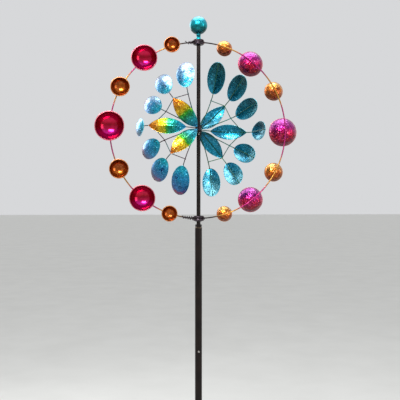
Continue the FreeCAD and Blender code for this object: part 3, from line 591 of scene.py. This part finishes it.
def dished_sheet(node, outline, paints, dent, rib=0.0):
    """A petal or leaf that follows its CAD sheet, with a hammered outside and a rolled edge."""
    middle, axes, own = own_frame(node)
    half_long, half_cross = own[:, 0].max() - BEAD, own[:, 1].max() - BEAD

    def terms(u, v):
        return np.stack([np.ones_like(u), u, v, u * u, u * v, v * v, u ** 4, u * u * v * v, v ** 4], -1)

    fit = np.linalg.lstsq(terms(own[:, 0] / half_long, own[:, 1] / half_long), own[:, 2], rcond=None)[0]
    turn = np.linspace(0, 2 * math.pi, SHEET_AROUND, endpoint=False)
    edge_u, edge_v = outline(turn)
    edge_u, edge_v = edge_u * half_long, edge_v * half_cross
    share = np.linspace(0, 1, SHEET_LOOPS + 1)[:, None] ** 0.85
    u, v = share * edge_u, share * edge_v

    def surface(u, v):
        return np.stack([u, v, terms(u / half_long, v / half_long) @ fit], -1)

    step = 0.2 * MM
    normal = unit(np.cross(surface(u + step, v) - surface(u - step, v),
                           surface(u, v + step) - surface(u, v - step)))
    face = surface(u, v)
    outer = face + normal * (SHEET / 2 - SHEET_INSET)
    inner = face - normal * (SHEET / 2)
    ridge = (rib * np.exp(-(v / RIB_WIDTH) ** 2) * (1 - share ** 4))[..., None] * (normal @ axes)
    world_outer = hammered(outer @ axes + middle, normal @ axes, CELL * 0.9, dent) + ridge
    world_inner = inner @ axes + middle + ridge
    edge = surface(edge_u, edge_v)
    change = np.roll(edge, -1, 0) - np.roll(edge, 1, 0)
    outward = unit(np.cross(change, normal[-1])) @ axes
    bead = rolled_edge(world_outer[-1], world_inner[-1], outward, BEAD * 0.8)
    along = (u / half_long + 1) / 2
    return shell_piece(node + "_sheet", node, world_outer, world_inner, bead, along,
                       lambda p: ((p - middle) @ axes[1]) / half_cross, paints)


def oval(turn):
    """An egg-shaped outline, fuller towards its outer end."""
    return np.cos(turn), np.sin(turn) * (0.975 + 0.05 * np.cos(turn))


def leaf_outline(slenderness):
    """Two arcs that meet in points."""
    def outline(turn):
        u = np.cos(turn)
        radius = (1 + slenderness ** 2) / (2 * slenderness)
        v = np.sqrt(np.maximum(radius ** 2 - u * u, 0)) - (radius - slenderness)
        return u, np.sign(np.sin(turn)) * np.maximum(v, 0.012) / slenderness
    return outline


LEAF_SLENDERNESS = 0.41

for node in BODY_OF:
    if node.startswith("cup_"):
        wind_cup(node)
    elif "_petal_" in node:
        dished_sheet(node, oval, PETAL_PAINTS, PETAL_DENT)
    elif "_leaf_" in node:
        dished_sheet(node, leaf_outline(LEAF_SLENDERNESS), LEAF_PAINTS, LEAF_DENT, LEAF_RIB)

# ---------------------------------------------------------------- finial


def lathe(name, node, profile, material, around, dent=0.0, centre=None):
    """A turned piece about the pole's axis from (radius, height) points; the first and last lie on the axis.

    A dent hammers it, outwards from the centre."""
    turn = np.linspace(0, 2 * math.pi, around, endpoint=False)
    points, faces, below = [], [], None
    for radius, height in profile:
        first, count = len(points), 1 if radius == 0 else around
        points += [(radius * math.cos(t), radius * math.sin(t), height) for t in turn[:count]]
        above = [first + j % count for j in range(around)]
        if below:
            for j in range(around):
                k = (j + 1) % around
                face = [below[j], below[k], above[k], above[j]]
                faces.append([p for n, p in enumerate(face) if p not in face[:n]])
        below = above
    points = np.array(points)
    if dent:
        points = hammered(points, unit(points - np.array(centre)), CELL * 1.3, dent)
    mesh = closed_mesh(name, points, faces, [material])
    low, high = points[:, 2].min(), points[:, 2].max()
    point_values(mesh, "rise", (points[:, 2] - (low + high) / 2) / ((high - low) / 2))
    return add_piece(name, mesh, node, [node])


def arc(centre, radius, start, end, steps):
    """Points on a circle in (radius, height), with angles in degrees from the radius axis."""
    return [(centre[0] + radius * math.cos(math.radians(t)), centre[1] + radius * math.sin(math.radians(t)))
            for t in np.linspace(start, end, steps)]


ball_low, ball_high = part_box("finial_ball")
BALL_RADIUS = (ball_high.x - ball_low.x) / 2
BALL_MIDDLE = ball_high.z - BALL_RADIUS
stem_low, stem_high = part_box("finial_stem")
STEM_RADIUS = (stem_high.x - stem_low.x) / 2
BALL_SKIN = BALL_RADIUS - 0.3 * MM
BALL_FOOT = BALL_MIDDLE - 0.9 * BALL_RADIUS
ball_profile = [(0, BALL_FOOT), (STEM_RADIUS * 0.9, BALL_FOOT)]
ball_profile += arc((0, BALL_MIDDLE), BALL_SKIN, -72, 88.5, 72) + [(0, BALL_MIDDLE + BALL_SKIN)]
lathe("finial_ball_hammered", "finial_ball", ball_profile, MATERIALS["teal_enamel"], 128, BALL_DENT,
      (0, 0, BALL_MIDDLE))

FOOT_RADIUS, FOOT_ROUND, FOOT_HEIGHT = STEM_RADIUS + 0.8 * MM, 1.4 * MM, 3 * MM
NECK_RADIUS, NECK_FLARE = STEM_RADIUS + 0.3 * MM, 3 * MM
stem_top = BALL_MIDDLE - 0.93 * BALL_RADIUS
stem_profile = [(0, stem_low.z), (FOOT_RADIUS - FOOT_ROUND, stem_low.z)]
stem_profile += arc((FOOT_RADIUS - FOOT_ROUND, stem_low.z + FOOT_ROUND), FOOT_ROUND, -90, 0, 6)
stem_profile += [(FOOT_RADIUS, stem_low.z + FOOT_HEIGHT), (NECK_RADIUS, stem_low.z + FOOT_HEIGHT + 0.8 * MM)]
stem_profile += [(NECK_RADIUS, stem_top - NECK_FLARE)]
stem_profile += arc((NECK_RADIUS + NECK_FLARE, stem_top - NECK_FLARE), NECK_FLARE, 180, 118, 7)
stem_profile += [(STEM_RADIUS + 2 * MM, stem_top + NECK_FLARE), (0, stem_top + NECK_FLARE)]
lathe("finial_stem_necked", "finial_stem", stem_profile, STEM_PAINT, 48)

# ---------------------------------------------------------------- bound wire and welds


def bent_wire(name, lines, radius, like, replaced=()):
    """Smooth round wires through the given points."""
    curve = bpy.data.curves.new(name, "CURVE")
    curve.dimensions = "3D"
    curve.bevel_depth = radius
    curve.bevel_resolution = 3
    curve.use_fill_caps = True
    for points in lines:
        spline = curve.splines.new("NURBS")
        spline.points.add(len(points) - 1)
        for point, place in zip(spline.points, points):
            point.co = (*place, 1)
        spline.order_u = 3
        spline.use_endpoint_u = True
    curve.materials.append(paint_of(like))
    return add_piece(name, curve, like, replaced)


BINDING, RING_WIRE, TIE_WIRE = 1.3 * MM, 2.0 * MM, 1.1 * MM  # radii


def binding_coil(side, start, length, turns, thick, thin):
    """Points of a wire wound round the left arc, loose near the collar and tight at its far end."""
    points = []
    for share in np.linspace(0, 1, int(turns * 14)):
        turn = (start + share * length) / RING_RADIUS
        radial = np.array([-math.sin(turn), 0, side * math.cos(turn)])
        loose = thick + (thin - thick) * share + 0.35 * MM * math.sin(9 * share)
        spin = 2 * math.pi * turns * share
        around = math.cos(spin) * radial + math.sin(spin) * np.array([0, 1, 0])
        points.append(np.array([0, 0, RING_MIDDLE]) + radial * RING_RADIUS + around * loose)
    return points


def loose_end(start, steps):
    """Points of a wire's free end, at steps in millimetres from where it leaves its coil."""
    return [start + np.array(step) * MM for step in steps]


COIL_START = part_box("ring_collar_top")[1].x + 1 * MM
upper = binding_coil(1, COIL_START, length=14 * MM, turns=2.6, thick=4.6 * MM, thin=RING_WIRE + BINDING)
lower = binding_coil(-1, COIL_START, length=31 * MM, turns=4.6, thick=5.2 * MM, thin=RING_WIRE + BINDING)
tail = loose_end(upper[-1], ((-2, -1, 1.5), (-5, -1.5, 3.5), (-8, -1, 6.5), (-9.5, -0.5, 7)))
spur = loose_end(upper[0], ((1, 2, 1), (-2, 0, -3), (-5, -2, -6), (-6.5, -2.5, -8.5)))
bent_wire("ring_binding_wires", [spur[::-1] + upper + tail, lower], BINDING, "ring_splice_coils",
          ["ring_splice_coils"])

GROOVE_DEPTH = 2.2 * MM
TIE_LIFT = 3.4 * MM  # how far the tie stands out and up where it passes the ring's wire


def collar_tie(node):
    """Points of a tie in a collar's groove, which passes over and under the ring's wire at its sides."""
    low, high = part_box(node)
    middle, edge = (low.z + high.z) / 2, high.x
    points = []
    for turn in np.linspace(0.15, 3.55, 64):
        sideways = abs(math.cos(turn * math.pi)) ** 2.5
        radius = edge - GROOVE_DEPTH + sideways * TIE_LIFT
        height = TIE_LIFT * sideways * (1 if turn % 2 < 1 else -1)
        points.append((radius * math.cos(turn * math.pi), radius * math.sin(turn * math.pi), middle + height))
    return points


for node in ("ring_collar_top", "ring_collar_bottom"):
    bent_wire(f"{node}_tie", [collar_tie(node)], TIE_WIRE, node)


def lumps(name, spots, like):
    """Small uneven weld beads at (place, radius) spots."""
    work = bmesh.new()
    for place, radius in spots:
        made = bmesh.ops.create_icosphere(work, subdivisions=3, radius=radius)
        for vert in made["verts"]:
            push = 1 + 0.22 * noise.noise(vert.co / radius * 1.4 + place * 900)
            vert.co = place + vert.co * push
    return add_piece(name, smooth_mesh(name, work, [paint_of(like)]), like)


def meeting_spots(first, second, gap, apart):
    """Where two CAD nodes touch: the middles of the clusters of points within a gap of each other."""
    vertices = frame["nodes"][second].data.vertices
    tree = kdtree.KDTree(len(vertices))
    for vertex in vertices:
        tree.insert(vertex.co, vertex.index)
    tree.balance()
    clusters = []
    for vertex in frame["nodes"][first].data.vertices:
        found = tree.find(vertex.co)
        if found[2] > gap:
            continue
        spot = (vertex.co + found[0]) / 2
        near = next((c for c in clusters if (sum(c, Vector()) / len(c) - spot).length < apart), None)
        if near is None:
            clusters.append([spot])
        else:
            near.append(spot)
    return [sum(c, Vector()) / len(c) for c in clusters]


BRACE_BEAD, PETAL_BEAD = 2.1 * MM, 1.9 * MM

for side in ("left", "right"):
    spokes = f"{side}_fan_spokes"
    places = meeting_spots(f"{side}_fan_brace", spokes, gap=1.0 * MM, apart=12 * MM)
    spots = [(place, BRACE_BEAD) for place in places]
    for node in BODY_OF:
        if node.startswith(f"{side}_petal_"):
            places = meeting_spots(node, spokes, gap=0.7 * MM, apart=14 * MM)
            spots += [(place, PETAL_BEAD) for place in places]
    lumps(f"{side}_fan_welds", spots, spokes)


def weld_rings(name, rings, like):
    """Uneven fillet welds, each a ring (middle, radius, thickness) about an upright line."""
    points, faces = [], []
    around, across = 48, 10
    for middle, radius, thick in rings:
        first = len(points)
        for i in range(around):
            t = 2 * math.pi * i / around
            rough = noise.noise(Vector((3 * math.cos(t), 3 * math.sin(t), middle[0] * 90)))
            bead = thick * (1 + 0.18 * math.sin(13 * t) + 0.2 * rough)
            for j in range(across):
                a = 2 * math.pi * j / across
                reach = radius + bead * math.cos(a)
                points.append((middle[0] + reach * math.cos(t), middle[1] + reach * math.sin(t),
                               middle[2] + bead * math.sin(a)))
        for i in range(around):
            for j in range(across):
                a, b = first + i * across, first + (i + 1) % around * across
                k = (j + 1) % across
                faces.append((a + j, b + j, b + k, a + k))
    return add_piece(name, closed_mesh(name, points, faces, [paint_of(like)]), like)


bar_low, bar_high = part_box("stake_step_bar")
pole_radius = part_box("pole_lower")[1].x
PRONG_RADIUS, SPIKE_RADIUS = 4 * MM, 6 * MM
prong_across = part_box("stake_spikes")[1].x - PRONG_RADIUS
weld_rings("stake_welds", [((0, 0, bar_high.z), pole_radius, 1.5 * MM),
                           ((0, 0, bar_low.z), SPIKE_RADIUS, 1.6 * MM),
                           ((-prong_across, 0, bar_low.z), PRONG_RADIUS, 1.4 * MM),
                           ((prong_across, 0, bar_low.z), PRONG_RADIUS, 1.4 * MM)], "stake_step_bar")

# ---------------------------------------------------------------- floor and light

FLOOR_SIZE = 60.0
pale = Paint("pale_floor")
tone = pale.mix(pale.spread(pale.noise(3.0, 4.0), 0.3, 0.7), (0.72, 0.72, 0.69), (0.76, 0.76, 0.73))
pale.shade(tone, 0.0, 0.7)
floor_mesh = bpy.data.meshes.new("floor")
corners = [(x * FLOOR_SIZE, y * FLOOR_SIZE, CAD_LOW.z) for x, y in ((-1, -1), (1, -1), (1, 1), (-1, 1))]
floor_mesh.from_pydata(corners, [], [(0, 1, 2, 3)])
floor_mesh.materials.append(pale.material)
floor = bpy.data.objects.new("floor", floor_mesh)
bpy.context.scene.collection.objects.link(floor)

world = bpy.data.worlds.new("studio")
bpy.context.scene.world = world
world.use_nodes = True
world.node_tree.nodes["Background"].inputs["Color"].default_value = (0.97, 0.98, 1.0, 1)
world.node_tree.nodes["Background"].inputs["Strength"].default_value = 0.7


def softbox(name, place, target, width, height, power, colour=(1, 1, 1)):
    data = bpy.data.lights.new(name, "AREA")
    data.shape = "RECTANGLE"
    data.size = width
    data.size_y = height
    data.energy = power
    data.color = colour
    thing = bpy.data.objects.new(name, data)
    bpy.context.scene.collection.objects.link(thing)
    thing.location = place
    thing.rotation_euler = (Vector(target) - Vector(place)).to_track_quat("-Z", "Y").to_euler()


MIDDLE = (0, 0, 1.35)
softbox("key", (-0.9, -2.4, 3.0), MIDDLE, 1.7, 0.6, 80)
softbox("overhead", (0.0, 0.2, 3.4), MIDDLE, 2.2, 2.2, 54, (0.95, 0.97, 1))
softbox("fill", (2.4, -1.6, 1.6), MIDDLE, 1.0, 1.6, 16)
softbox("rim", (-1.6, 2.4, 2.2), MIDDLE, 1.2, 1.6, 20)
